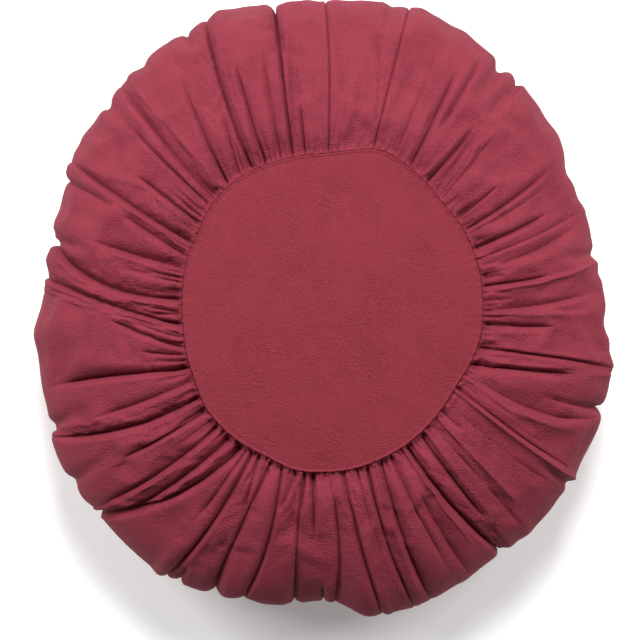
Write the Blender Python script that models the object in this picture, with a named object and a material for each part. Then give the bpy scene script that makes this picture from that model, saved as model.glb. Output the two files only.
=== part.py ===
# Round throw pillow, lying on its back: a filled body of gathered cloth between two sewn-in round panels.
# +Z points out of its face, +Y is its top edge as it is shown, and it rests on the floor at z = 0.
# Angles are in degrees, anticlockwise from +X as seen from the face.
import math

import bmesh
import bpy

# Driving dimensions, in metres
WIDTH = 0.450
HEIGHT = 0.480
RIM_LEVEL = 0.062
FRONT_RISE = 0.086
BACK_DROP = 0.074
PANEL_TOP = 0.141
SEAM_DIP = 0.006
SEAM_DIP_REACH = 0.016
CLOTH = 0.0015
GAP = 0.0003
SEAM_TURN = 0.0012

# Section of the filling: z = level + rise * (1 - share ** PLUMPNESS) ** (1 / SHOULDER)
PLUMPNESS = 2.6
SHOULDER = 2.2

# How finely the cloth is divided
BODY_COLUMNS = 240
PANEL_COLUMNS = 80
PANEL_SHARES = (0.6, 0.88, 1.0)
FRONT_SHARES = (0.04, 0.11, 0.2, 0.31, 0.43, 0.55, 0.67, 0.78, 0.87, 0.94, 0.985)
BACK_SHARES = (0.97, 0.86, 0.7, 0.5, 0.3, 0.12)

# Creases are drawn no narrower than the columns can show
NARROWEST_SIDE = 0.0032
CREASE_SHARPNESS = 1.2
DEEPEST = 0.020

# Gathers on the back, which are even and plain
BACK_GATHERS = 50
BACK_GATHER_DEPTH = 0.004
BACK_GATHERS_START = 1.35

MM = 0.001
CLOTH_COLOUR = (0.353, 0.045, 0.075, 1.0)
CLOTH_ROUGHNESS = 0.92

# The outline, a row for every 10 degrees. lean is how far a thread that leaves the seam here has turned at the rim.
# degrees, rim mm, seam mm, lean degrees
OUTLINE = (
    (0, 220.0, 118.5, 5.0),
    (10, 217.5, 119.0, 4.5),
    (20, 218.0, 120.5, 5.0),
    (30, 221.0, 120.0, 6.0),
    (40, 228.5, 118.5, 5.5),
    (50, 235.0, 120.5, 4.5),
    (60, 239.0, 123.0, 3.0),
    (70, 241.0, 124.5, 2.0),
    (80, 240.0, 118.5, 1.5),
    (90, 238.0, 114.5, 1.0),
    (100, 240.5, 114.0, -1.5),
    (110, 240.5, 114.0, -3.5),
    (120, 237.0, 115.0, -4.5),
    (130, 233.0, 114.5, -2.5),
    (140, 230.0, 112.5, -2.5),
    (150, 227.0, 109.0, -4.0),
    (160, 219.0, 108.5, -4.5),
    (170, 215.0, 107.0, -7.0),
    (180, 217.5, 106.5, -12.0),
    (190, 224.5, 107.0, -14.0),
    (200, 231.0, 109.5, -12.5),
    (210, 236.5, 112.0, -9.0),
    (220, 238.0, 117.0, -8.5),
    (230, 239.5, 119.5, -9.0),
    (240, 240.5, 121.0, -9.0),
    (250, 239.0, 122.0, -4.5),
    (260, 236.0, 124.5, -1.0),
    (270, 234.0, 123.5, 0.5),
    (280, 242.0, 124.0, 2.0),
    (290, 244.0, 124.0, 3.0),
    (300, 239.5, 122.5, 3.5),
    (310, 238.5, 120.5, 1.0),
    (320, 238.0, 118.5, 0.0),
    (330, 236.5, 117.5, 1.0),
    (340, 232.5, 119.5, 3.0),
    (350, 226.5, 119.5, 4.5),
)
OUTLINE_STEP = 10
RIM, SEAM, LEAN = 1, 2, 3

# The main folds of the gathered cloth. Each runs from the front seam, share 0, over the rim, share 1, towards the
# back seam, share 2. A negative depth is a raised pinch. low and high are the widths of its two sides.
# degrees at seam, at half way, at rim, depth mm, low mm, high mm, start share, end share
FOLDS = (
    (358.0, 360.3, 363.5, 8.0, 4.0, 12.0, 0.0, 0.9),
    (7.0, 7.6, 10.0, 13.0, 4.0, 4.0, 0.0, 0.62),
    (5.0, 6.2, 9.3, -5.0, 3.0, 3.0, 0.05, 1.05),
    (13.0, 14.5, 19.0, 6.0, 6.0, 7.0, 0.1, 0.9),
    (20.6, 21.7, 24.0, 11.5, 4.0, 4.0, 0.0, 0.7),
    (26.2, 29.8, 33.5, 10.0, 4.0, 5.0, 0.03, 0.88),
    (33.3, 35.5, 37.0, 6.5, 4.0, 4.0, 0.0, 0.45),
    (45.2, 48.6, 51.0, 6.5, 3.0, 8.0, 0.0, 0.6),
    (50.1, 49.6, 50.0, 10.5, 6.0, 4.0, 0.0, 0.56),
    (56.0, 56.7, 57.6, 6.0, 4.0, 4.0, 0.3, 0.93),
    (57.8, 59.8, 61.0, 8.0, 4.0, 5.0, 0.0, 0.8),
    (72.2, 73.4, 73.8, 4.0, 3.0, 3.0, 0.0, 1.3),
    (72.4, 76.6, 81.0, 4.0, 4.0, 4.0, 0.1, 0.85),
    (88.1, 88.6, 89.4, 4.0, 3.0, 3.0, 0.0, 1.2),
    (101.6, 100.1, 99.2, 9.0, 4.0, 3.0, 0.0, 1.25),
    (101.5, 98.2, 96.0, 5.0, 5.0, 4.0, 0.2, 0.76),
    (105.8, 104.0, 102.5, 4.5, 6.0, 4.0, 0.0, 0.7),
    (112.2, 110.6, 109.2, 8.0, 5.0, 4.0, 0.0, 1.0),
    (117.3, 115.2, 112.4, 10.0, 4.0, 5.0, 0.0, 1.1),
    (118.0, 117.0, 116.8, 9.0, 8.0, 8.0, 0.8, 1.35),
    (122.8, 117.0, 116.0, 4.5, 5.0, 4.0, 0.0, 0.4),
    (128.3, 123.8, 121.5, 8.0, 5.0, 4.0, 0.0, 0.8),
    (130.6, 131.2, 130.2, -4.5, 3.0, 3.0, 0.0, 1.0),
    (135.8, 134.3, 132.5, 10.5, 8.0, 6.0, 0.0, 1.1),
    (138.4, 137.9, 136.8, 8.0, 3.0, 3.0, 0.0, 0.9),
    (146.3, 145.3, 145.0, 8.0, 4.0, 4.0, 0.0, 0.5),
    (154.5, 152.4, 150.2, 11.0, 7.0, 4.0, 0.0, 1.1),
    (156.0, 154.9, 153.8, 5.0, 4.0, 5.0, 0.55, 1.15),
    (160.2, 156.0, 155.0, 8.0, 5.0, 4.0, 0.0, 0.55),
    (165.2, 164.7, 163.0, 10.5, 8.0, 4.0, 0.0, 0.68),
    (177.4, 175.4, 167.2, 17.0, 9.0, 4.0, 0.0, 1.15),
    (187.6, 179.8, 172.8, 11.5, 5.0, 4.0, 0.0, 1.2),
    (183.5, 182.0, 181.0, 5.0, 5.0, 4.0, 0.0, 0.2),
    (197.0, 183.8, 178.0, 8.0, 4.0, 4.0, 0.0, 0.5),
    (205.0, 198.7, 196.6, 15.5, 6.0, 4.0, 0.0, 0.93),
    (210.0, 207.3, 204.0, 7.0, 8.0, 4.0, 0.0, 0.7),
    (216.5, 212.0, 205.8, 14.5, 5.0, 4.0, 0.0, 1.05),
    (222.0, 218.2, 215.0, 9.0, 5.0, 4.0, 0.0, 1.15),
    (229.0, 225.4, 220.6, 12.0, 5.0, 4.0, 0.0, 1.0),
    (234.4, 229.9, 223.0, 14.0, 5.0, 4.0, 0.0, 1.2),
    (239.0, 233.6, 227.0, 11.0, 4.0, 4.0, 0.0, 0.88),
    (240.6, 237.2, 232.0, 8.0, 5.0, 4.0, 0.0, 0.68),
    (244.3, 242.4, 239.8, 10.5, 4.0, 4.0, 0.0, 1.15),
    (243.0, 242.6, 242.2, 6.5, 4.0, 4.0, 0.8, 1.3),
    (246.8, 249.3, 251.0, 6.5, 4.0, 4.0, 0.0, 0.42),
    (251.5, 249.4, 248.9, 8.0, 4.0, 5.0, 0.0, 1.2),
    (255.6, 256.9, 254.5, 9.0, 4.0, 4.0, 0.0, 1.1),
    (261.0, 256.8, 256.0, 6.5, 4.0, 4.0, 0.0, 0.3),
    (263.4, 263.7, 264.4, 6.5, 3.0, 3.0, 0.0, 1.25),
    (266.5, 267.8, 268.0, 6.5, 4.0, 4.0, 0.0, 0.5),
    (269.5, 269.8, 270.0, 11.5, 4.0, 4.0, 0.78, 1.35),
    (272.5, 273.5, 272.3, 4.5, 3.0, 8.0, 0.1, 1.1),
    (276.8, 278.9, 281.0, 8.0, 4.0, 4.0, 0.0, 1.1),
    (284.2, 284.3, 287.0, 9.0, 4.0, 4.0, 0.0, 1.1),
    (290.2, 288.3, 289.7, 10.5, 4.0, 7.0, 0.0, 1.08),
    (297.0, 297.5, 298.5, 5.0, 8.0, 6.0, 0.3, 1.0),
    (299.0, 301.2, 302.5, -5.0, 3.0, 3.0, 0.0, 0.85),
    (300.8, 302.6, 305.8, 14.5, 4.0, 5.0, 0.0, 1.15),
    (307.0, 307.0, 308.0, 10.5, 5.0, 5.0, 0.0, 0.75),
    (312.0, 312.2, 312.0, 6.5, 5.0, 6.0, 0.2, 0.98),
    (315.4, 314.4, 314.8, -4.5, 3.0, 5.0, 0.0, 0.88),
    (322.0, 321.3, 322.8, 6.5, 8.0, 8.0, 0.15, 1.0),
    (325.9, 325.7, 325.5, -6.5, 3.0, 3.0, 0.0, 1.15),
    (327.3, 326.8, 326.9, 6.5, 3.0, 5.0, 0.0, 0.95),
    (330.5, 328.5, 328.0, -4.0, 3.0, 3.0, 0.0, 0.75),
    (332.0, 330.5, 332.5, 10.5, 5.0, 8.0, 0.2, 0.95),
    (335.4, 334.4, 338.3, -5.0, 4.0, 4.0, 0.0, 1.0),
    (337.0, 337.5, 339.8, 7.5, 4.0, 4.0, 0.5, 1.25),
    (338.4, 343.3, 346.0, 13.0, 4.0, 4.0, 0.0, 0.72),
    (345.0, 347.3, 347.8, 5.0, 5.0, 3.0, 0.0, 1.05),
    (353.1, 354.2, 356.0, 9.0, 4.0, 5.0, 0.0, 0.62),
    (357.1, 357.8, 358.5, -5.0, 3.0, 3.0, 0.0, 0.85),
)
FOLD_FADE_IN = 0.16
FOLD_FADE_OUT = 0.3

# Where the rim is notched between two puffs of cloth, or where a puff stands out, with a negative depth.
# degrees, depth mm, width mm
NOTCHES = (
    (10.8, 3.5, 4.0),
    (33.5, -3.0, 12.0),
    (53.5, 7.0, 5.0),
    (49.0, 3.5, 5.0),
    (71.5, -2.5, 10.0),
    (77.0, 3.0, 5.0),
    (99.7, 4.0, 4.0),
    (110.0, -2.5, 10.0),
    (127.0, 4.0, 6.0),
    (137.0, 3.5, 5.0),
    (162.5, -2.5, 8.0),
    (166.3, 3.0, 4.0),
    (169.8, -2.5, 8.0),
    (185.5, -3.0, 12.0),
    (203.8, 4.5, 5.0),
    (215.0, 3.0, 5.0),
    (238.5, -2.5, 6.0),
    (249.0, 4.0, 5.0),
    (264.4, 2.5, 5.0),
    (278.0, -3.0, 10.0),
    (306.5, 2.5, 5.0),
    (324.0, 3.0, 4.0),
    (325.4, -2.0, 5.0),
    (339.6, 2.5, 5.0),
    (348.5, -2.5, 8.0),
)
NOTCH_REACH = 0.28


def eased(value, low, high):
    """0 below low, 1 above high, and a smooth step between."""
    share = min(1.0, max(0.0, (value - low) / (high - low)))
    return share * share * (3 - 2 * share)


def outline(degrees, column):
    """A column of OUTLINE at any angle, on a smooth closed curve through its rows."""
    place = (degrees % 360) / OUTLINE_STEP
    row = int(place)
    before, here, after, beyond = (OUTLINE[(row + k) % len(OUTLINE)][column] for k in (-1, 0, 1, 2))
    t = place - row
    slope_here, slope_after = (after - before) / 2, (beyond - here) / 2
    return (
        here * (1 + 2 * t) * (1 - t) ** 2
        + slope_here * t * (1 - t) ** 2
        + after * t * t * (3 - 2 * t)
        - slope_after * t * t * (1 - t)
    )


def fold_angle(fold, share):
    """Where a fold runs, on the curve through its three angles."""
    at_seam, half_way, at_rim = fold[:3]
    share = min(share, 1.0)
    bend = 2 * (at_rim - 2 * half_way + at_seam)
    return at_seam + (at_rim - at_seam - bend) * share + bend * share * share


def notch_depth(degrees, share, radius):
    """How far the notches draw the rim in at a place, in metres."""
    drawn_in = 0.0
    for middle, depth, width in NOTCHES:
        aside = (degrees - middle + 180) % 360 - 180
        across = math.radians(aside) * radius / (width * MM)
        drawn_in += depth * MM * math.exp(-(across ** 2))
    return drawn_in * math.exp(-(((share - 1) / NOTCH_REACH) ** 2))


def fold_depth(degrees, share, radius):
    """How far the folds draw the cloth in at a place, in metres."""
    drawn_in = notch_depth(degrees, share, radius)
    for fold in FOLDS:
        depth, low, high, start, end = fold[3:]
        if not start <= share <= end:
            continue
        aside = (degrees - fold_angle(fold, share) + 180) % 360 - 180
        side = max(NARROWEST_SIDE, (low if aside < 0 else high) * MM)
        across = math.radians(abs(aside)) * radius / side
        fade = 1.0 if start == 0 else eased(share, start, start + FOLD_FADE_IN)
        fade *= 1 - eased(share, end - FOLD_FADE_OUT * (end - start), end)
        drawn_in += depth * MM * fade * math.exp(-(across ** CREASE_SHARPNESS))
    return DEEPEST * math.tanh(drawn_in / DEEPEST)


def back_gathers(degrees, share):
    """How far the plain gathers draw the cloth in near the back seam."""
    wave = 0.5 - 0.5 * math.cos(math.radians(degrees) * BACK_GATHERS)
    return BACK_GATHER_DEPTH * wave * eased(share, BACK_GATHERS_START, 2.0)


def crown(share_of_rim):
    """How full the filling stands, from 1 at the middle to 0 at the rim."""
    return max(0.0, 1 - min(1.0, share_of_rim) ** PLUMPNESS) ** (1 / SHOULDER)


def section(radius, degrees, back):
    """Height of the unfolded cushion at a radius: drawn in at its front seam, and flat where it lies on the floor."""
    rim = outline(degrees, RIM) * MM
    seam = outline(degrees, SEAM) * MM
    if back:
        return max(0.0, RIM_LEVEL - BACK_DROP * crown(radius / rim))
    if radius > seam:
        dip = SEAM_DIP * math.exp(-(((radius - seam) / SEAM_DIP_REACH) ** 2))
        return RIM_LEVEL + FRONT_RISE * crown(radius / rim) - dip
    seam_level = RIM_LEVEL + FRONT_RISE * crown(seam / rim) - SEAM_DIP
    return PANEL_TOP - (PANEL_TOP - seam_level) * (radius / seam) ** 2


def outward(radius, degrees, back):
    """The direction, in the plane of the section, in which the unfolded cloth faces."""
    rim = outline(degrees, RIM) * MM
    step = 0.0005
    inner = min(radius, rim - step) - step
    slope = (section(inner + step, degrees, back) - section(inner, degrees, back)) / step
    along, up = (-slope, 1.0) if not back else (slope, -1.0)
    size = math.hypot(along, up)
    return along / size, up / size


def body_point(degrees, share, back):
    """A point of the gathered cloth. share runs from 0 at the seam to 1 at the rim on either face."""
    travelled = 2 - share if back else share
    turned = degrees + outline(degrees, LEAN) * min(travelled, 1.0)
    rim = outline(turned, RIM) * MM
    seam = outline(turned, SEAM) * MM
    radius = seam + (rim - seam) * share
    drawn_in = fold_depth(turned, travelled, radius)
    if back:
        drawn_in += back_gathers(degrees, travelled)
    along, up = outward(radius, turned, back)
    height = section(radius, turned, back) - up * drawn_in
    radius -= along * drawn_in
    return radius, turned, max(0.0, height)


def panel_point(degrees, share, back, below):
    """A point of a round panel, or of the body under it. below is how deep it lies under the panel's outer face."""
    if back:
        degrees += outline(degrees, LEAN)
    radius = outline(degrees, SEAM) * MM * share
    height = section(radius, degrees, back)
    return radius, degrees, height + below if back else height - below


def body_rows():
    """Each row of the body from the middle of its face, round the rim, to the middle of its back."""
    under = CLOTH + GAP
    rows = [lambda a: panel_point(a, 0.0, False, under)]
    rows += [lambda a, s=s: panel_point(a, s, False, under) for s in PANEL_SHARES[:-1]]
    rows.append(lambda a: widened(panel_point(a, 1.0, False, under), GAP))
    rows.append(lambda a: widened(panel_point(a, 1.0, False, 0.0), SEAM_TURN))
    rows += [lambda a, s=s: body_point(a, s, False) for s in FRONT_SHARES]
    rows.append(lambda a: body_point(a, 1.0, False))
    rows += [lambda a, s=s: body_point(a, s, True) for s in BACK_SHARES]
    rows.append(lambda a: widened(panel_point(a, 1.0, True, 0.0), SEAM_TURN))
    rows.append(lambda a: widened(panel_point(a, 1.0, True, under), GAP))
    rows += [lambda a, s=s: panel_point(a, s, True, under) for s in reversed(PANEL_SHARES[:-1])]
    rows.append(lambda a: panel_point(a, 0.0, True, under))
    return rows


def panel_rows(back):
    """Each row of a panel from the middle of its upper face, round its edge, to the middle of its lower face."""
    upper, lower = (CLOTH, 0.0) if back else (0.0, CLOTH)
    shares = (0.0,) + PANEL_SHARES
    rows = [lambda a, s=s: panel_point(a, s, back, upper) for s in shares]
    rows += [lambda a, s=s: panel_point(a, s, back, lower) for s in reversed(shares)]
    return rows


def widened(point, by):
    """The same point a little further from the middle."""
    radius, degrees, height = point
    return radius + by, degrees, height


def cloth_material():
    """Matt dyed cotton crepe."""
    material = bpy.data.materials.new("dyed_cotton_crepe")
    material.use_nodes = True
    shader = material.node_tree.nodes["Principled BSDF"]
    shader.inputs["Base Color"].default_value = CLOTH_COLOUR
    shader.inputs["Roughness"].default_value = CLOTH_ROUGHNESS
    shader.inputs["Metallic"].default_value = 0.0
    return material


def closed_form(name, columns, rows, material, collection):
    """A globe whose rings are moved to the given rows, so that it stays one closed surface."""
    form = bmesh.new()
    bmesh.ops.create_uvsphere(form, u_segments=columns, v_segments=len(rows) - 1, radius=1.0)
    for vertex in form.verts:
        ring = round(math.acos(max(-1.0, min(1.0, vertex.co.z))) / math.pi * (len(rows) - 1))
        degrees = math.degrees(math.atan2(vertex.co.y, vertex.co.x))
        radius, turned, height = rows[ring](degrees)
        angle = math.radians(turned)
        vertex.co = (radius * math.cos(angle), radius * math.sin(angle), height)
    mesh = bpy.data.meshes.new(name)
    form.to_mesh(mesh)
    form.free()
    mesh.shade_smooth()
    mesh.materials.append(material)
    made = bpy.data.objects.new(name, mesh)
    collection.objects.link(made)
    return made


def fit_to_size(body, others):
    """Brings the body to WIDTH by HEIGHT about the origin, and the pieces sewn to it with it."""
    across = [v.co.x for v in body.data.vertices]
    along = [v.co.y for v in body.data.vertices]
    scale_x = WIDTH / (max(across) - min(across))
    scale_y = HEIGHT / (max(along) - min(along))
    middle_x = (max(across) + min(across)) / 2
    middle_y = (max(along) + min(along)) / 2
    for made in (body, *others):
        for vertex in made.data.vertices:
            vertex.co.x = (vertex.co.x - middle_x) * scale_x
            vertex.co.y = (vertex.co.y - middle_y) * scale_y


def clear_scene():
    for old in list(bpy.data.objects):
        bpy.data.objects.remove(old, do_unlink=True)


def main():
    clear_scene()
    collection = bpy.data.collections.new("round_gathered_pillow")
    bpy.context.scene.collection.children.link(collection)
    cloth = cloth_material()
    body = closed_form("gathered_body", BODY_COLUMNS, body_rows(), cloth, collection)
    front = closed_form("front_panel", PANEL_COLUMNS, panel_rows(False), cloth.copy(), collection)
    back = closed_form("back_panel", PANEL_COLUMNS, panel_rows(True), cloth.copy(), collection)
    fit_to_size(body, (front, back))


main()
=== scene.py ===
import math
import random

import bmesh
import bpy
import numpy as np
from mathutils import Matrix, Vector


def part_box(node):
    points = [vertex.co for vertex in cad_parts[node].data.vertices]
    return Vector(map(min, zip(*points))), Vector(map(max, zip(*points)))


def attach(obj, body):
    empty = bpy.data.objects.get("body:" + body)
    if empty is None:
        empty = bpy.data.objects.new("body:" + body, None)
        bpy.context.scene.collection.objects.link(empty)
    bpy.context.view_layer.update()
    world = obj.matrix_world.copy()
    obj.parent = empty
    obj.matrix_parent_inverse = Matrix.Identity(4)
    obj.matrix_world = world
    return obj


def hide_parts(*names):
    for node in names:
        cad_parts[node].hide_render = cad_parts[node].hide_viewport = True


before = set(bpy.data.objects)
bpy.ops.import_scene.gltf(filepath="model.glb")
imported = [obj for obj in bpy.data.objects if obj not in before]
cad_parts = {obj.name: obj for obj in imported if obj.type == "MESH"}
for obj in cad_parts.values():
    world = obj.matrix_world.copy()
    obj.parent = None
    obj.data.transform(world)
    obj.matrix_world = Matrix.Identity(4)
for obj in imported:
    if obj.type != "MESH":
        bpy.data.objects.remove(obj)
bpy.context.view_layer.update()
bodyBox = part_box("gathered_body")
mm = 0.001

# Section of the filled pillow, as its solid has it
pillow = {
    "rimLevel": 0.062,
    "frontRise": 0.086,
    "backDrop": 0.074,
    "panelTop": 0.141,
    "seamDip": 0.006,
    "seamDipReach": 0.016,
    "plumpness": 2.6,
    "shoulder": 2.2,
    "cloth": 0.0015,
    "gap": 0.0003,
}

# Outline of the rim and of the seam round the panel, a row for every outlineStep degrees
# degrees, rim mm, seam mm
outlineRows = (
    (0, 220.5, 120.5),
    (10, 215.5, 120.5),
    (20, 215.5, 120.5),
    (30, 218.5, 120.0),
    (40, 227.5, 118.5),
    (50, 233.0, 120.5),
    (60, 237.5, 123.0),
    (70, 240.5, 124.5),
    (80, 239.5, 118.5),
    (90, 237.5, 114.5),
    (100, 239.0, 114.0),
    (110, 240.5, 114.0),
    (120, 237.5, 115.0),
    (130, 234.0, 114.5),
    (140, 229.0, 112.5),
    (150, 226.5, 109.0),
    (160, 218.0, 108.5),
    (170, 216.5, 107.0),
    (180, 219.0, 106.5),
    (190, 224.5, 107.0),
    (200, 229.0, 109.5),
    (210, 237.5, 112.0),
    (220, 239.0, 117.0),
    (230, 240.5, 119.5),
    (240, 242.0, 121.0),
    (250, 240.0, 122.0),
    (260, 236.5, 126.0),
    (270, 230.0, 126.0),
    (280, 242.5, 125.5),
    (290, 242.5, 124.0),
    (300, 237.5, 122.5),
    (310, 237.5, 120.5),
    (320, 237.0, 118.5),
    (330, 234.0, 117.5),
    (340, 233.5, 119.5),
    (350, 228.0, 121.0),
)
outlineStep = 10
rimColumn, seamColumn = 1, 2

# Main folds of the strip, read off the photo. Share 0 is the front seam, 1 the rim, 2 the back seam.
# A negative depth is a raised pinch. low and high are the widths of the crease's two sides.
# degrees at seam, at half way, at rim, depth mm, low mm, high mm, start share, end share
mainFolds = (
    (358.0, 360.3, 363.5, 8.0, 2.0, 12.0, 0.0, 0.9),
    (7.0, 7.4, 9.5, 9.0, 2.5, 3.0, 0.0, 0.58),
    (5.0, 6.2, 9.3, -3.5, 2.0, 2.0, 0.05, 1.05),
    (10.0, 9.2, 8.9, 5.0, 3.0, 2.0, 0.0, 0.2),
    (13.0, 14.5, 19.0, 6.0, 5.0, 7.0, 0.1, 0.9),
    (16.8, 18.0, 20.5, 3.0, 1.5, 4.0, 0.02, 1.0),
    (20.6, 21.7, 24.0, 8.5, 2.5, 3.5, 0.0, 0.7),
    (28.0, 29.4, 32.0, 7.5, 2.0, 3.5, 0.0, 0.85),
    (25.7, 27.0, 29.0, 3.0, 5.0, 5.0, 0.1, 0.8),
    (32.8, 34.8, 36.5, 5.0, 1.5, 2.0, 0.0, 0.42),
    (45.2, 48.6, 51.0, 6.5, 2.0, 7.0, 0.0, 0.6),
    (50.1, 49.6, 50.0, 8.0, 5.0, 2.5, 0.0, 0.55),
    (41.8, 44.3, 46.5, 3.0, 4.0, 4.0, 0.0, 0.6),
    (56.0, 56.7, 57.6, 6.0, 3.0, 3.0, 0.3, 0.93),
    (57.8, 59.8, 61.0, 6.5, 2.5, 4.0, 0.0, 0.8),
    (64.2, 65.4, 67.0, 2.5, 3.0, 6.0, 0.0, 0.9),
    (72.2, 73.4, 73.8, 3.2, 1.0, 1.6, 0.0, 1.4),
    (72.4, 76.6, 81.0, 3.0, 1.5, 3.0, 0.1, 0.85),
    (88.1, 88.6, 89.4, 3.2, 1.6, 1.0, 0.0, 1.4),
    (101.6, 100.1, 99.2, 9.0, 3.0, 2.0, 0.0, 1.25),
    (101.5, 98.2, 96.0, 5.0, 4.0, 3.0, 0.2, 0.8),
    (96.8, 96.4, 96.0, 3.5, 2.5, 2.5, 0.0, 0.35),
    (105.8, 104.0, 102.5, 4.5, 5.0, 3.0, 0.0, 0.75),
    (112.2, 110.6, 109.2, 7.0, 4.0, 2.5, 0.0, 0.7),
    (117.3, 115.2, 112.4, 9.5, 3.0, 4.0, 0.0, 1.1),
    (118.0, 117.0, 116.8, 8.0, 7.0, 7.0, 0.8, 1.35),
    (122.8, 117.0, 116.0, 4.5, 4.0, 2.5, 0.0, 0.42),
    (128.3, 123.8, 121.5, 7.0, 4.0, 2.5, 0.0, 0.8),
    (130.2, 130.8, 130.2, -2.8, 5.0, 4.0, 0.0, 1.0),
    (135.8, 134.3, 132.5, 8.5, 7.0, 4.0, 0.0, 1.1),
    (138.4, 137.9, 136.8, 6.0, 2.0, 2.0, 0.0, 0.9),
    (146.3, 145.3, 145.0, 8.0, 3.0, 3.0, 0.0, 0.55),
    (154.5, 152.4, 150.2, 9.0, 6.0, 2.5, 0.0, 1.1),
    (156.0, 154.9, 153.8, 5.0, 3.0, 4.0, 0.55, 1.15),
    (160.2, 156.0, 155.0, 8.0, 4.0, 3.0, 0.0, 0.55),
    (165.2, 164.7, 163.0, 10.0, 7.0, 3.0, 0.0, 0.7),
    (170.2, 169.5, 168.8, 3.0, 4.0, 4.0, 0.12, 0.5),
    (177.4, 175.4, 167.2, 16.0, 8.0, 2.5, 0.0, 1.15),
    (187.6, 179.8, 174.4, 11.0, 4.0, 2.0, 0.0, 1.1),
    (183.5, 182.0, 181.0, 5.0, 4.0, 3.0, 0.0, 0.22),
    (197.0, 183.8, 178.0, 8.0, 3.0, 2.5, 0.0, 0.5),
    (200.0, 191.0, 186.0, 4.0, 4.0, 4.0, 0.0, 0.3),
    (205.0, 198.7, 196.6, 15.0, 5.0, 2.5, 0.0, 0.95),
    (210.0, 207.3, 204.0, 7.0, 7.0, 3.0, 0.0, 0.72),
    (216.5, 212.0, 205.8, 14.0, 4.0, 2.5, 0.0, 1.05),
    (222.0, 218.2, 215.0, 8.0, 4.0, 2.5, 0.0, 0.65),
    (229.0, 225.6, 221.0, 9.5, 6.0, 2.5, 0.0, 0.95),
    (234.8, 229.8, 225.0, 11.0, 5.0, 3.0, 0.0, 0.92),
    (240.0, 232.7, 222.6, 15.0, 4.0, 2.5, 0.0, 1.2),
    (242.0, 239.2, 236.0, 5.5, 3.0, 2.5, 0.0, 0.6),
    (244.3, 243.0, 239.8, 8.5, 3.0, 2.5, 0.0, 1.15),
    (243.0, 242.6, 242.2, 6.0, 3.0, 3.0, 0.8, 1.3),
    (246.8, 249.3, 251.0, 6.5, 3.0, 2.5, 0.0, 0.45),
    (251.5, 249.4, 248.9, 7.0, 2.0, 4.0, 0.0, 1.2),
    (255.6, 256.9, 254.5, 7.5, 3.0, 2.0, 0.0, 1.1),
    (261.0, 256.8, 256.0, 6.0, 3.0, 2.5, 0.0, 0.32),
    (263.4, 263.7, 264.4, 5.5, 1.5, 2.5, 0.0, 1.25),
    (266.5, 267.8, 268.0, 6.5, 3.0, 2.5, 0.0, 0.52),
    (269.5, 269.8, 270.0, 6.0, 4.0, 3.0, 0.78, 1.35),
    (272.5, 273.5, 272.3, 5.0, 1.2, 6.0, 0.1, 1.1),
    (276.8, 278.9, 281.0, 6.5, 2.5, 2.0, 0.0, 1.1),
    (281.8, 282.4, 283.0, 3.0, 2.0, 2.0, 0.0, 0.45),
    (285.0, 285.0, 287.0, 7.5, 2.0, 3.0, 0.0, 1.1),
    (290.2, 289.0, 290.2, 9.0, 3.0, 5.0, 0.0, 1.08),
    (293.6, 294.8, 295.5, 4.0, 3.0, 3.0, 0.0, 0.9),
    (297.0, 297.5, 298.5, 5.0, 7.0, 5.0, 0.3, 1.0),
    (299.0, 301.2, 302.5, -3.5, 2.0, 2.0, 0.0, 0.85),
    (300.8, 302.6, 305.8, 12.5, 2.5, 4.0, 0.0, 1.15),
    (307.0, 307.0, 308.0, 10.0, 4.0, 3.0, 0.0, 0.78),
    (312.0, 312.2, 312.0, 3.5, 6.0, 6.0, 0.0, 0.98),
    (315.4, 314.8, 314.6, -2.0, 3.0, 4.0, 0.0, 0.82),
    (318.2, 318.6, 319.0, 3.0, 2.0, 2.0, 0.0, 0.2),
    (322.0, 321.3, 322.8, 2.0, 8.0, 8.0, 0.1, 1.0),
    (327.0, 325.5, 325.6, -3.5, 2.0, 2.0, 0.0, 1.15),
    (328.3, 326.6, 326.9, 4.0, 1.5, 2.5, 0.0, 0.95),
    (330.5, 328.8, 328.6, -1.2, 4.0, 4.0, 0.0, 0.75),
    (333.2, 331.6, 335.4, -2.2, 5.0, 3.5, 0.0, 0.9),
    (334.8, 333.4, 338.4, 5.5, 3.5, 8.0, 0.05, 1.0),
    (337.0, 337.5, 339.8, 6.5, 2.5, 2.5, 0.5, 1.25),
    (338.4, 343.3, 346.0, 11.0, 3.0, 2.5, 0.0, 0.75),
    (345.0, 347.3, 347.8, 6.0, 4.0, 1.5, 0.0, 1.05),
    (353.1, 354.8, 357.0, 8.0, 3.0, 3.5, 0.0, 0.55),
    (357.1, 357.8, 358.5, -3.5, 2.0, 2.0, 0.0, 0.85),
)

# Notches between puffs at the rim, and puffs that stand out, with a negative depth
# degrees, depth mm, width mm
rimNotches = (
    (10.8, 3.5, 4.0),
    (33.5, -3.0, 12.0),
    (53.5, 7.0, 5.0),
    (49.0, 3.5, 5.0),
    (71.5, -2.5, 10.0),
    (77.0, 3.0, 5.0),
    (99.7, 4.0, 4.0),
    (110.0, -2.5, 10.0),
    (127.0, 4.0, 6.0),
    (137.0, 3.5, 5.0),
    (162.5, -2.5, 8.0),
    (166.3, 3.0, 4.0),
    (169.8, -2.5, 8.0),
    (185.5, -3.0, 12.0),
    (203.8, 4.5, 5.0),
    (215.0, 3.0, 5.0),
    (238.5, -2.5, 6.0),
    (249.0, 4.0, 5.0),
    (264.4, 2.5, 5.0),
    (278.0, -3.0, 10.0),
    (306.5, 2.5, 5.0),
    (324.0, 3.0, 4.0),
    (325.4, -2.0, 5.0),
    (339.6, 2.5, 5.0),
    (348.5, -2.5, 8.0),
)


def eased(value, low, high):
    share = np.clip((value - low) / (high - low), 0, 1)
    return share * share * (3 - 2 * share)


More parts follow.
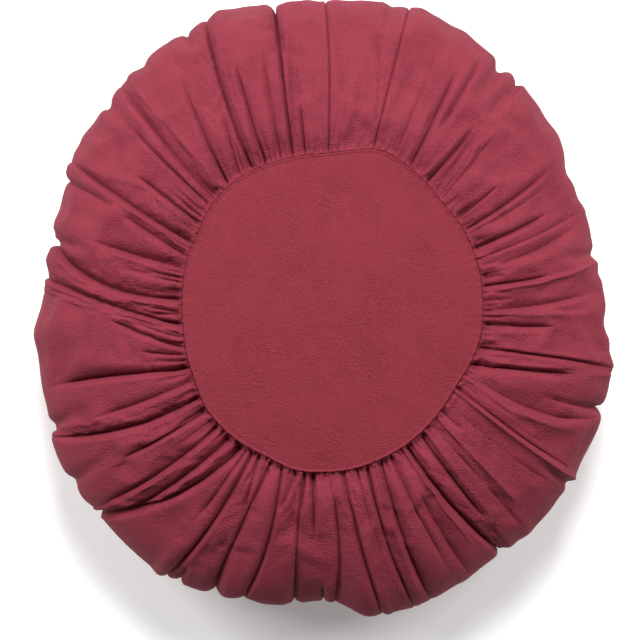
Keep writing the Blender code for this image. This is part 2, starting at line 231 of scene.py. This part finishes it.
def outlineAt(degrees, column):  # smooth closed curve through the rows
    values = np.array([row[column] for row in outlineRows]) * mm
    place = np.mod(degrees, 360) / outlineStep
    row = np.floor(place).astype(int)
    t = place - row
    before, here, after, beyond = (values[(row + k) % len(values)] for k in (-1, 0, 1, 2))
    slopeHere = (after - before) / 2
    slopeAfter = (beyond - here) / 2
    return (
        here * (1 + 2 * t) * (1 - t) ** 2
        + slopeHere * t * (1 - t) ** 2
        + after * t * t * (3 - 2 * t)
        - slopeAfter * t * t * (1 - t)
    )


def crownAt(share):
    return np.maximum(0, 1 - np.clip(share, 0, 1) ** pillow["plumpness"]) ** (1 / pillow["shoulder"])


def sectionAt(radius, degrees, back):  # height before the cloth is folded
    rim = outlineAt(degrees, rimColumn)
    seam = outlineAt(degrees, seamColumn)
    if back:
        return np.maximum(0, pillow["rimLevel"] - pillow["backDrop"] * crownAt(radius / rim))
    dip = pillow["seamDip"] * np.exp(-(((radius - seam) / pillow["seamDipReach"]) ** 2))
    outside = pillow["rimLevel"] + pillow["frontRise"] * crownAt(radius / rim) - dip
    seamLevel = pillow["rimLevel"] + pillow["frontRise"] * crownAt(seam / rim) - pillow["seamDip"]
    inside = pillow["panelTop"] - (pillow["panelTop"] - seamLevel) * (radius / seam) ** 2
    return np.where(radius > seam, outside, inside)


def outwardAt(radius, degrees, back):  # which way the unfolded cloth faces, in its section
    step = 0.0004
    inner = np.minimum(radius, outlineAt(degrees, rimColumn) - step) - step
    slope = (sectionAt(inner + step, degrees, back) - sectionAt(inner, degrees, back)) / step
    along, up = (slope, -1.0) if back else (-slope, 1.0)
    size = np.hypot(along, up)
    return along / size, up / size


def foldAngle(fold, share):  # curve through the fold's three angles
    atSeam, halfWay, atRim = fold[:3]
    share = min(share, 1.0)
    bend = 2 * (atRim - 2 * halfWay + atSeam)
    return atSeam + (atRim - atSeam - bend) * share + bend * share * share


def turnFrom(a, b):
    return (a - b + 180) % 360 - 180


# The mesh's columns run along the deepest folds that don't cross, so that a crease can be crisp
threadGap = 0.9  # degrees


def threadLines():
    kept = []
    for fold in sorted(mainFolds, key=lambda one: -abs(one[3])):
        clear = True
        for other in kept:
            turns = [turnFrom(foldAngle(fold, s), foldAngle(other, s)) for s in (0, 0.25, 0.5, 0.75, 1)]
            sizes = [abs(turn) for turn in turns]
            crosses = min(turns) < 0 < max(turns) and max(sizes) < 90
            if crosses or min(sizes) < threadGap:
                clear = False
        if clear:
            kept.append(fold)
    return sorted(kept, key=lambda one: one[0] % 360)


threads = threadLines()
threadSeams = np.array([fold[0] % 360 for fold in threads])
threadRound = np.concatenate([threadSeams - 360, threadSeams, threadSeams + 360])


def threadAngle(thread, share):  # where a thread that leaves the seam at this angle has got to
    turned = np.array([turnFrom(foldAngle(fold, share), fold[0]) for fold in threads])
    return thread + np.interp(thread, threadRound, np.tile(turned, 3))


def around(radius, degrees, height):  # places from distance, angle and level
    turn = np.radians(degrees)
    return np.stack([radius * np.cos(turn), radius * np.sin(turn), height + 0 * turn], axis=1)


# Columns stand closer beside the creases, and the nearest one is moved onto each
crowding = {"step": 0.05, "share": 1.6, "reach": 0.55}


def crowdedColumns(columns):
    fine = np.arange(0, 360, crowding["step"])
    aside = [turnFrom(fine, seam) / crowding["reach"] for seam in threadSeams]
    crowd = 1 + sum(crowding["share"] * np.exp(-(turn**2)) for turn in aside)
    fine = np.append(fine, 360)
    place = np.concatenate([[0], np.cumsum(crowd)])
    place *= columns / place[-1]
    angles = np.interp(np.arange(columns), place, fine)
    nearest = np.rint(np.interp(threadSeams, fine, place)).astype(int) % columns
    angles[nearest] += turnFrom(threadSeams, angles[nearest])
    return angles


# Small gathers between the main folds and fine puckers where the thread draws the strip in at the seam
gathers = {
    "count": 160,
    "depth": (1.2, 3.8),
    "width": (0.6, 1.7),
    "end": (0.08, 0.4),
    "fadeFrom": 0.3,
    "seed": 4,
}
puckers = {
    "count": 170,
    "depth": (1.0, 3.2),
    "width": (0.7, 1.5),
    "reach": (2.5, 8.0),
    "sharpness": 1.4,
    "seed": 9,
}
backGathers = {"count": 58, "depth": (2.5, 5.0), "width": (2.5, 5.0), "start": (1.25, 1.6), "seed": 12}
calmStretches = ((45.0, 9.0), (77.0, 20.0), (321.0, 11.0))  # middle and half width in degrees
calmShare = 0.75


def spreadRound(settings, *columns):  # evenly round the seam with some play, a row for each
    play = random.Random(settings["seed"])
    pitch = 360 / settings["count"]
    rows = []
    for number in range(settings["count"]):
        turn = (number + play.uniform(-0.4, 0.4)) * pitch
        rows.append([turn] + [play.uniform(*settings[column]) for column in columns])
    return rows


gatherRows = spreadRound(gathers, "depth", "width", "end")
puckerRows = spreadRound(puckers, "depth", "width", "reach")
for row in gatherRows:  # shallow where the strip lies almost flat
    for middle, halfWidth in calmStretches:
        row[1] *= 1 - calmShare * math.exp(-((turnFrom(row[0], middle) / halfWidth) ** 4))
backRows = spreadRound(backGathers, "depth", "width", "start")

# Across a crease, in shares of its side's width: a sharp slit in a broad valley, with a lip on the steep side
creaseShape = {
    "slit": 0.27,
    "slitShare": 0.52,
    "broad": 1.35,
    "broadShare": 0.26,
    "broadPower": 1.5,
    "lip": 0.1,
    "lipAt": 1.5,
    "lipWidth": 0.6,
    "rounding": 0.05,
    "ridgeRounding": 0.4,
    "fadeIn": 0.16,
    "fadeOut": 0.3,
}
notchReach = 0.28  # of the way from the seam to the rim
seamHold = {"share": 0.24, "reach": 0.0042, "puckers": 0.5, "puckerRise": 0.001}
deepest = 0.022


def foldDepth(thread, degrees, share, radius):  # how far the cloth is drawn in
    drawn = np.zeros_like(degrees)
    for fold in mainFolds:
        depth, low, high, start, end = fold[3:]
        if not start <= share <= end:
            continue
        aside = turnFrom(degrees, foldAngle(fold, share))
        across = np.radians(np.abs(aside)) * radius / (np.where(aside < 0, low, high) * mm)
        rounding = creaseShape["ridgeRounding" if depth < 0 else "rounding"]
        across = np.sqrt(across**2 + rounding**2) - rounding
        fade = 1 - eased(share, end - creaseShape["fadeOut"] * (end - start), end)
        if start > 0:
            fade = fade * eased(share, start, start + creaseShape["fadeIn"])
        slit = np.exp(-across / creaseShape["slit"])
        broad = np.exp(-((across / creaseShape["broad"]) ** creaseShape["broadPower"]))
        steep = aside < 0 if low < high else aside > 0
        beside = (across - creaseShape["lipAt"]) / creaseShape["lipWidth"]
        lip = creaseShape["lip"] * np.exp(-(beside**2)) * steep
        profile = creaseShape["slitShare"] * slit + creaseShape["broadShare"] * broad - lip
        drawn += depth * mm * fade * profile
    for turn, depth, width, end in gatherRows:
        if share < end:
            across = np.radians(np.abs(turnFrom(thread, turn))) * radius / (width * mm)
            drawn += depth * mm * np.exp(-across) * (1 - eased(share, end * gathers["fadeFrom"], end))
    for middle, depth, width in rimNotches:
        across = np.radians(turnFrom(degrees, middle)) * radius / (width * mm)
        drawn += depth * mm * np.exp(-(across**2)) * math.exp(-(((share - 1) / notchReach) ** 2))
    return drawn


def puckerDepth(thread, radius, fromSeam):
    drawn = np.zeros_like(thread)
    for turn, depth, width, reach in puckerRows:
        across = np.radians(np.abs(turnFrom(thread, turn))) * radius / (width * mm)
        drawn += depth * mm * np.exp(-(across ** puckers["sharpness"])) * np.exp(-fromSeam / (reach * mm))
    rise = seamHold["puckers"] + (1 - seamHold["puckers"]) * eased(fromSeam, 0, seamHold["puckerRise"])
    return drawn * rise


def backDepth(thread, radius, share):
    drawn = np.zeros_like(thread)
    for turn, depth, width, start in backRows:
        across = np.radians(np.abs(turnFrom(thread, turn))) * radius / (width * mm)
        drawn += depth * mm * np.exp(-across) * eased(share, start, 2.0)
    return drawn


# Slow waves of the filling under the cloth
# waves round, lean, phase round, waves across, phase across, part
slowWaves = (
    (23, 4.0, 1.1, 6.2, 0.7, 1.0),
    (41, -3.0, 0.0, 9.5, 2.0, 0.7),
    (67, 5.0, 2.2, 4.4, 0.0, 0.6),
)
waveHeight = 0.0006


def softUndulation(thread, share):
    turn = np.radians(thread)
    wave = np.zeros_like(turn)
    for waves, lean, phase, across, acrossPhase, part in slowWaves:
        wave += part * np.sin(turn * waves + lean * share + phase) * np.sin(across * share + acrossPhase)
    return wave * waveHeight


def clothPoint(thread, share, back):  # a row of the gathered strip
    travelled = 2 - share if back else share
    turned = threadAngle(thread, min(travelled, 1.0))
    rim = outlineAt(turned, rimColumn)
    seam = outlineAt(turned, seamColumn)
    radius = seam + (rim - seam) * share
    fromSeam = radius - seam
    drawn = foldDepth(thread, turned, travelled, radius)
    drawn = deepest * np.tanh(drawn / deepest)
    drawn += softUndulation(thread, travelled)
    if back:
        drawn += backDepth(thread, radius, travelled)
    held = seamHold["share"] + (1 - seamHold["share"]) * eased(fromSeam, 0, seamHold["reach"])
    drawn = drawn * held + puckerDepth(thread, radius, fromSeam)
    along, up = outwardAt(radius, turned, back)
    height = sectionAt(radius, turned, back) - up * drawn
    return radius - along * drawn, turned, np.maximum(0, height)


def panelPoint(thread, share, back, below, wider=0.0):  # a row of a panel, or of the body under it
    turned = threadAngle(thread, 1.0) if back else thread
    radius = outlineAt(turned, seamColumn) * share
    height = sectionAt(radius, turned, back)
    return radius + wider, turned, height + (below if back else -below)


# The strip's turned edge beside a panel, drawn down with its gathers
def seamPoint(thread, back, below, wider):
    radius, turned, height = panelPoint(thread, 1.0, back, below, wider)
    drawn = foldDepth(thread, turned, 2.0 if back else 0.0, radius)
    if back:
        drawn += backDepth(thread, radius, 2.0)
    drawn = deepest * np.tanh(drawn / deepest) * seamHold["share"]
    drawn += puckerDepth(thread, radius, 0.0)
    return radius, turned, np.maximum(0.0, height + drawn if back else height - drawn)


def coordinates(mesh):
    at = np.empty(len(mesh.vertices) * 3)
    mesh.vertices.foreach_get("co", at)
    return at.reshape(-1, 3)


def gridMesh(name, columns, rows):  # a flat grid, with the column and the row of each point
    form = bmesh.new()
    bmesh.ops.create_grid(form, x_segments=columns, y_segments=rows, size=1)
    mesh = bpy.data.meshes.new(name)
    form.to_mesh(mesh)
    form.free()
    at = coordinates(mesh)
    column = np.rint((at[:, 0] + 1) / 2 * columns).astype(int)
    row = np.rint((at[:, 1] + 1) / 2 * rows).astype(int)
    return mesh, at, column, row


def standing(name, mesh):
    piece = bpy.data.objects.new(name, mesh)
    bpy.context.scene.collection.objects.link(piece)
    return piece


# A grid wrapped round the pillow, welded to itself and closed at both ends
weldReach = 1e-6


def wrappedForm(name, angles, rows):
    columns, last = len(angles), len(rows) - 1
    mesh, at, column, ring = gridMesh(name, columns, last)
    for number, row in enumerate(rows):
        here = ring == number
        at[here] = row(angles[column[here] % columns])
    mesh.vertices.foreach_set("co", at.ravel())
    form = bmesh.new()
    form.from_mesh(mesh)
    form.verts.ensure_lookup_table()
    ends = np.flatnonzero((column % columns == 0) | (ring == 0) | (ring == last))
    bmesh.ops.remove_doubles(form, verts=[form.verts[k] for k in ends], dist=weldReach)
    bmesh.ops.recalc_face_normals(form, faces=form.faces[:])
    openEdges = sum(not edge.is_manifold for edge in form.edges)
    volume = round(form.calc_volume(signed=True) * 1e6)
    print(name, "faces", len(form.faces), "open edges", openEdges, "volume", volume, "ml")
    form.to_mesh(mesh)
    form.free()
    mesh.shade_smooth()
    return standing(name, mesh)


def spaced(count, first, last, bias):  # shares from first to last, closer together near first
    return [first + (last - first) * (k / (count - 1)) ** bias for k in range(count)]


# Cloth simulation: the filling blows the strip out between its seams, and the deep creases hold it
billow = {
    "columns": 320,
    "frontRows": 34,
    "frontShares": (0.0, 1.0),
    "frontBias": 1.2,
    "backRows": 8,
    "backShares": (0.05, 0.9),
    "firstAngle": 300.8,
    "frames": 20,
    "quality": 5,
    "bending": 0.3,
    "pressure": 4.0,
    "growth": 0.03,
    "holdDepth": 0.007,
    "floorClear": 0.004,
    "most": 0.0035,
}
billowShares = spaced(billow["frontRows"], *billow["frontShares"], billow["frontBias"])
billowShares += [2 - s for s in reversed(spaced(billow["backRows"], *billow["backShares"], 1.0))]


def acrossStrip(thread, travelled):  # share 0 is the front seam, 1 the rim, 2 the back seam
    back = travelled > 1
    return around(*clothPoint(thread, 2 - travelled if back else travelled, back))


def blownOut():  # how far each place of the strip moves, as a grid of rows and columns
    columns, last = billow["columns"], len(billowShares) - 1
    mesh, at, column, row = gridMesh("stripToBlow", columns, last)
    held = np.zeros(len(at))
    for number, travelled in enumerate(billowShares):
        here = row == number
        thread = (billow["firstAngle"] + column[here] * 360 / columns) % 360
        at[here] = acrossStrip(thread, travelled)
        turned = threadAngle(thread, min(travelled, 1.0))
        radius = np.hypot(at[here, 0], at[here, 1])
        held[here] = np.clip(foldDepth(thread, turned, travelled, radius) / billow["holdDepth"], 0, 1)
    held[(column % columns == 0) | (row == 0) | (row == last)] = 1
    held[at[:, 2] < billow["floorClear"]] = 1
    mesh.vertices.foreach_set("co", at.ravel())
    piece = standing("stripToBlow", mesh)
    group = piece.vertex_groups.new(name="held")
    for number, weight in enumerate(held):
        if weight > 0:
            group.add([number], float(weight), "REPLACE")
    cloth = piece.modifiers.new("cloth", "CLOTH")
    settings = cloth.settings
    settings.quality = billow["quality"]
    settings.vertex_group_mass = "held"
    settings.use_pressure = True
    settings.uniform_pressure_force = billow["pressure"]
    settings.shrink_min = -billow["growth"]
    settings.bending_stiffness = billow["bending"]
    settings.effector_weights.gravity = 0
    cloth.collision_settings.use_self_collision = False
    cloth.point_cache.frame_start = 1
    cloth.point_cache.frame_end = billow["frames"]
    for number in range(1, billow["frames"] + 1):
        bpy.context.scene.frame_set(number)
    bpy.context.view_layer.objects.active = piece
    bpy.ops.object.modifier_apply(modifier=cloth.name)
    moved = coordinates(piece.data) - at
    bpy.context.scene.frame_set(1)
    grid = np.zeros((last + 1, columns + 1, 3))
    grid[row, column] = moved
    bpy.data.objects.remove(piece)
    size = np.linalg.norm(grid, axis=2, keepdims=True)
    print("strip blown out, mean move", float(size.mean()) * 1000, "mm, most", float(size.max()) * 1000)
    return grid * billow["most"] * np.tanh(size / billow["most"]) / np.maximum(size, 1e-9)


moves = blownOut()


def moveAt(thread, travelled):  # the simulated move between the grid's places
    down = float(np.interp(travelled, billowShares, np.arange(len(billowShares))))
    high = min(int(down), len(billowShares) - 2)
    line = moves[high] * (1 - down + high) + moves[high + 1] * (down - high)
    place = np.mod(thread - billow["firstAngle"], 360) / 360 * billow["columns"]
    left = np.minimum(place.astype(int), billow["columns"] - 1)
    part = (place - left)[:, None]
    return line[left] * (1 - part) + line[left + 1] * part


def stripRow(thread, share, back):
    travelled = 2 - share if back else share
    at = acrossStrip(thread, travelled) + moveAt(thread, travelled)
    at[:, 2] = np.maximum(0, at[:, 2])
    return at


strip = {
    "columns": 1150,
    "frontRows": 56,
    "frontShares": (0.011, 1.0),
    "frontBias": 1.3,
    "backRows": 18,
    "backShares": (0.04, 0.965),
    "hiddenShares": (0.0, 0.6, 0.93),
}
under = pillow["cloth"] + pillow["gap"]

# The strip's turned edge beside each panel: how far below the panel's face and outside the seam
frontTurn = ((under + 0.0004, 0.0001), (0.0007, 0.0001), (0.0001, 0.0004))
backTurn = ((0.0, 0.0012), (under + 0.0004, 0.0004))


def stripRows():
    hidden = strip["hiddenShares"]
    frontShares = spaced(strip["frontRows"], *strip["frontShares"], strip["frontBias"])
    backShares = spaced(strip["backRows"], *strip["backShares"], 1.0)
    rows = [lambda t, s=s: around(*panelPoint(t, s, False, under)) for s in hidden]
    rows += [lambda t, b=b, w=w: around(*seamPoint(t, False, b, w)) for b, w in frontTurn]
    rows += [lambda t, s=s: stripRow(t, s, False) for s in frontShares]
    rows += [lambda t, s=s: stripRow(t, s, True) for s in reversed(backShares)]
    rows += [lambda t, b=b, w=w: around(*seamPoint(t, True, b, w)) for b, w in backTurn]
    rows += [lambda t, s=s: around(*panelPoint(t, s, True, under)) for s in reversed(hidden)]
    return rows


panel = {
    "columns": 480,
    "shares": (0.0, 0.15, 0.3, 0.45, 0.6, 0.72, 0.82, 0.9, 0.94, 0.96, 0.972),
    "bead": 0.0008,
    "beadAt": 0.0011,
    "beadWidth": 0.0009,
    "edgeReach": 0.006,
    "ripple": 0.0003,
    "slack": 0.002,
    "hemInset": 0.0008,
}

# The panel's turned edge, from its face to its side
# inset, fall
turnedEdge = (
    (0.0025, 0.0),
    (0.0017, 0.0),
    (0.001, 0.0),
    (0.0005, 0.00015),
    (0.0001, 0.0005),
    (0.0001, 0.001),
)


def panelFace(thread, share, back, below, inset=0.0):  # a face of a panel, its turned edge a little raised
    radius, turned, height = panelPoint(thread, share, back, 0.0)
    turn = np.radians(thread)
    seam = outlineAt(turned, seamColumn)
    edge = np.exp(-(((seam - radius) / panel["edgeReach"]) ** 2))
    ripple = np.sin(turn * 97 + 0.6 + 2 * np.sin(turn * 5)) * 0.6 + np.sin(turn * 143 + 2.0) * 0.4
    radius = radius - inset + panel["ripple"] * 0.5 * ripple * edge
    height = height + (below if back else -below)
    if not back:
        fromBead = inset - panel["beadAt"] if inset > 0 else seam - panel["beadAt"] - radius
        bead = np.exp(-((fromBead / panel["beadWidth"]) ** 2))
        height = height + panel["bead"] * bead + panel["ripple"] * ripple * edge
        height = height + np.sin(turn * 3 + 0.5) * share**2 * (1 - share) * panel["slack"]
    return around(radius, turned, height)


def panelRows(back):
    thick = pillow["cloth"]
    top, low = (thick, 0.0) if back else (0.0, thick)
    rows = [lambda t, s=s: panelFace(t, s, back, top) for s in panel["shares"]]
    for inset, fallen in turnedEdge:
        level = top - fallen if back else top + fallen
        rows.append(lambda t, i=inset, v=level: panelFace(t, 1.0, back, v, i))
    rows.append(lambda t: panelFace(t, 1.0, back, low, panel["hemInset"]))
    rows += [lambda t, s=s: panelFace(t, s, back, low) for s in reversed(panel["shares"])]
    return rows


def fitToFrame(body, others):  # brings the body to the solid's box, and the panels with it
    at = coordinates(body.data)
    low, high = np.array(bodyBox[0]), np.array(bodyBox[1])
    scale = (high - low) / (at.max(axis=0) - at.min(axis=0))
    middle = (at.max(axis=0) + at.min(axis=0)) / 2
    target = (high + low) / 2
    scale[2], middle[2], target[2] = 1, 0, 0
    print("fitted to the solid's box, scale", scale.round(4), "moved", ((target - middle) / mm).round(2))
    for piece in (body, *others):
        at = (coordinates(piece.data) - middle) * scale + target
        piece.data.vertices.foreach_set("co", at.ravel())
        piece.data.update()


panelAngles = np.arange(panel["columns"]) * 360 / panel["columns"]
body = wrappedForm("gatheredStrip", crowdedColumns(strip["columns"]), stripRows())
front = wrappedForm("frontPanel", panelAngles, panelRows(False))
back = wrappedForm("backPanel", panelAngles, panelRows(True))
fitToFrame(body, (front, back))
print("pillow modelled", len(threads), "threads", len(body.data.polygons), "faces")


# Materials
def linearColour(code):
    parts = [int(code[k : k + 2], 16) / 255 for k in (1, 3, 5)]
    return tuple(c / 12.92 if c <= 0.04045 else ((c + 0.055) / 1.055) ** 2.4 for c in parts) + (1.0,)


def addNode(tree, kind, inputs=None, **settings):  # a value is set on a socket, and an output is linked to it
    node = tree.nodes.new(kind)
    for name, value in settings.items():
        setattr(node, name, value)
    for socket, value in (inputs or {}).items():
        if isinstance(value, bpy.types.NodeSocket):
            tree.links.new(value, node.inputs[socket])
        else:
            node.inputs[socket].default_value = value
    return node


crepe = {
    "pitchMm": 1.0,
    "lengthMm": 2.6,
    "crossPitchMm": 0.9,
    "crossLengthMm": 2.1,
    "crushMm": (9.0, 4.0),
    "crushTurn": -12,
    "driftScale": 45.0,
    "drift": 0.006,
    "patchScale": 60.0,
    "patchLimits": (0.35, 0.65),
    "crinkleLimits": (0.28, 0.72),
    "unevenScale": 38.0,
    "unevenLimits": (0.35, 0.65),
    "unevenRelief": (0.55, 1.45),
    "bump": 0.8,
    "roughness": 0.85,
    "specular": 0.18,
    "sheen": 0.03,
    "sheenRoughness": 0.5,
    "sheenTint": "#d98a97",
}
# Each pair of tones is painted shade in the crinkle's hollows and painted highlight on its tops
stripCrepe = {"valleyPaintedShade": "#712533", "ridgePaintedHighlight": "#872f3d", "relief": 0.0008, "crush": 0.0004, "grain": (2, -35)}
# The panel's tones are a little darker than the strip's though both are the same cloth: the strip's lighter
# tones are painted light for its brighter gathered sides
panelCrepe = {"valleyPaintedShade": "#6e232d", "ridgePaintedHighlight": "#822b37", "relief": 0.0006, "crush": 0.0002, "grain": (-22, -52)}


# Cotton crepe: hard-twisted yarn shrinks after weaving and covers the matt cloth in fine wavy crinkles
def crepeMaterial(name, kind):
    material = bpy.data.materials.new(name)
    material.use_nodes = True
    tree = material.node_tree
    shader = tree.nodes["Principled BSDF"]
    place = addNode(tree, "ShaderNodeTexCoord").outputs["Object"]

    def noise(vector, scale, detail=1.0):
        inputs = {"Vector": vector, "Scale": scale, "Detail": detail}
        return addNode(tree, "ShaderNodeTexNoise", inputs).outputs

    drifted = addNode(
        tree,
        "ShaderNodeVectorMath",
        {0: noise(place, crepe["driftScale"])["Color"], 1: (crepe["drift"],) * 3, 2: place},
        operation="MULTIPLY_ADD",
    ).outputs["Vector"]

    def laidNoise(turn, length, pitch):  # noise drawn out along one direction
        laid = addNode(
            tree,
            "ShaderNodeMapping",
            {
                "Vector": drifted,
                "Rotation": (0.0, 0.0, math.radians(turn)),
                "Scale": (length * mm, pitch * mm, pitch * mm),
            },
            vector_type="TEXTURE",
        ).outputs["Vector"]
        return noise(laid, 1.0, 2.0)["Fac"]

    def ranged(value, low, high, toLow=0.0, toHigh=1.0):
        limits = {"Value": value, "From Min": low, "From Max": high, "To Min": toLow, "To Max": toHigh}
        return addNode(tree, "ShaderNodeMapRange", limits).outputs["Result"]

    patch = ranged(noise(place, crepe["patchScale"])["Fac"], *crepe["patchLimits"])
    along = laidNoise(kind["grain"][0], crepe["lengthMm"], crepe["pitchMm"])
    across = laidNoise(kind["grain"][1], crepe["crossLengthMm"], crepe["crossPitchMm"])
    crinkle = addNode(tree, "ShaderNodeMix", {0: patch, 2: along, 3: across}, data_type="FLOAT").outputs[0]
    relief = ranged(crinkle, *crepe["crinkleLimits"])
    # Base colour follows the crinkle's height: painted shade in its hollows, painted highlight on its tops
    crinkleShadeStops = {0: relief, 6: linearColour(kind["valleyPaintedShade"]), 7: linearColour(kind["ridgePaintedHighlight"])}
    crinkleShadedColour = addNode(tree, "ShaderNodeMix", crinkleShadeStops, data_type="RGBA").outputs[2]
    reliefs = [share * kind["relief"] for share in crepe["unevenRelief"]]
    height = ranged(noise(drifted, crepe["unevenScale"])["Fac"], *crepe["unevenLimits"], *reliefs)
    crush = laidNoise(crepe["crushTurn"], *crepe["crushMm"])
    coarse = {"Height": crush, "Strength": crepe["bump"], "Distance": kind["crush"]}
    crushed = addNode(tree, "ShaderNodeBump", coarse).outputs["Normal"]
    fine = {"Height": relief, "Strength": crepe["bump"], "Distance": height, "Normal": crushed}
    crinkled = addNode(tree, "ShaderNodeBump", fine).outputs["Normal"]
    tree.links.new(crinkleShadedColour, shader.inputs["Base Color"])
    tree.links.new(crinkled, shader.inputs["Normal"])
    shader.inputs["Roughness"].default_value = crepe["roughness"]
    shader.inputs["Specular IOR Level"].default_value = crepe["specular"]
    shader.inputs["Sheen Weight"].default_value = crepe["sheen"]
    shader.inputs["Sheen Roughness"].default_value = crepe["sheenRoughness"]
    shader.inputs["Sheen Tint"].default_value = linearColour(crepe["sheenTint"])
    return material


stripCloth = crepeMaterial("gatheredCottonCrepe", stripCrepe)
panelCloth = crepeMaterial("flatCottonCrepe", panelCrepe)
for piece, node, cloth in (
    (body, "gathered_body", stripCloth),
    (front, "front_panel", panelCloth),
    (back, "back_panel", panelCloth),
):
    piece.data.materials.append(cloth)
    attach(piece, "root")
    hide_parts(node)

# Backlit white floor, a soft key beyond the pillow's top edge, a fill on each side, and the photo's view
studio = {
    "floorSize": 4,
    "floorColour": "#f6f6f5",
    "floorRoughness": 0.9,
    "floorGlow": 0.22,
    "lampSize": 0.9,
    "lampAim": (0, 0, 0.08),
    "airColour": "#ffffff",
    "airStrength": 0.115,
}

# name, place, watts
lamps = (
    ("topEdgeKey", (0.15, 2.0, 2.65), 103),
    ("leftFill", (-1.35, 0.65, 1.2), 27),
    ("rightFill", (1.35, 0.65, 1.2), 21),
)


def backlitMaterial(name, code):
    material = bpy.data.materials.new(name)
    material.use_nodes = True
    shader = material.node_tree.nodes["Principled BSDF"]
    shader.inputs["Base Color"].default_value = linearColour(code)
    shader.inputs["Roughness"].default_value = studio["floorRoughness"]
    shader.inputs["Emission Color"].default_value = linearColour(code)
    shader.inputs["Emission Strength"].default_value = studio["floorGlow"]
    return material


floorForm = bmesh.new()
bmesh.ops.create_grid(floorForm, x_segments=1, y_segments=1, size=studio["floorSize"])
floorMesh = bpy.data.meshes.new("studioFloor")
floorForm.to_mesh(floorMesh)
floorForm.free()
floorMesh.materials.append(backlitMaterial("backlitWhiteAcrylic", studio["floorColour"]))
floor = standing("studioFloor", floorMesh)


def areaLight(name, at, watts):
    light = bpy.data.lights.new(name, "AREA")
    light.size = studio["lampSize"]
    light.energy = watts
    lamp = bpy.data.objects.new(name, light)
    lamp.location = at
    lamp.rotation_euler = (Vector(studio["lampAim"]) - Vector(at)).to_track_quat("-Z", "Y").to_euler()
    bpy.context.scene.collection.objects.link(lamp)


for lamp in lamps:
    areaLight(*lamp)
world = bpy.data.worlds.new("paleStudio")
world.use_nodes = True
world.node_tree.nodes["Background"].inputs["Color"].default_value = linearColour(studio["airColour"])
world.node_tree.nodes["Background"].inputs["Strength"].default_value = studio["airStrength"]
bpy.context.scene.world = world
bpy.context.scene.view_settings.view_transform = "Standard"

photoView = {"lens": 144.6, "sensor": 36.0, "above": 2.0, "middle": (-0.0021, -0.0092)}
camera = bpy.data.cameras.new("photoView")
camera.lens = photoView["lens"]
camera.sensor_width = photoView["sensor"]
cameraPiece = bpy.data.objects.new("photoView", camera)
cameraPiece.location = (*photoView["middle"], pillow["rimLevel"] + photoView["above"])
bpy.context.scene.collection.objects.link(cameraPiece)
bpy.context.scene.camera = cameraPiece

print("scene ready")
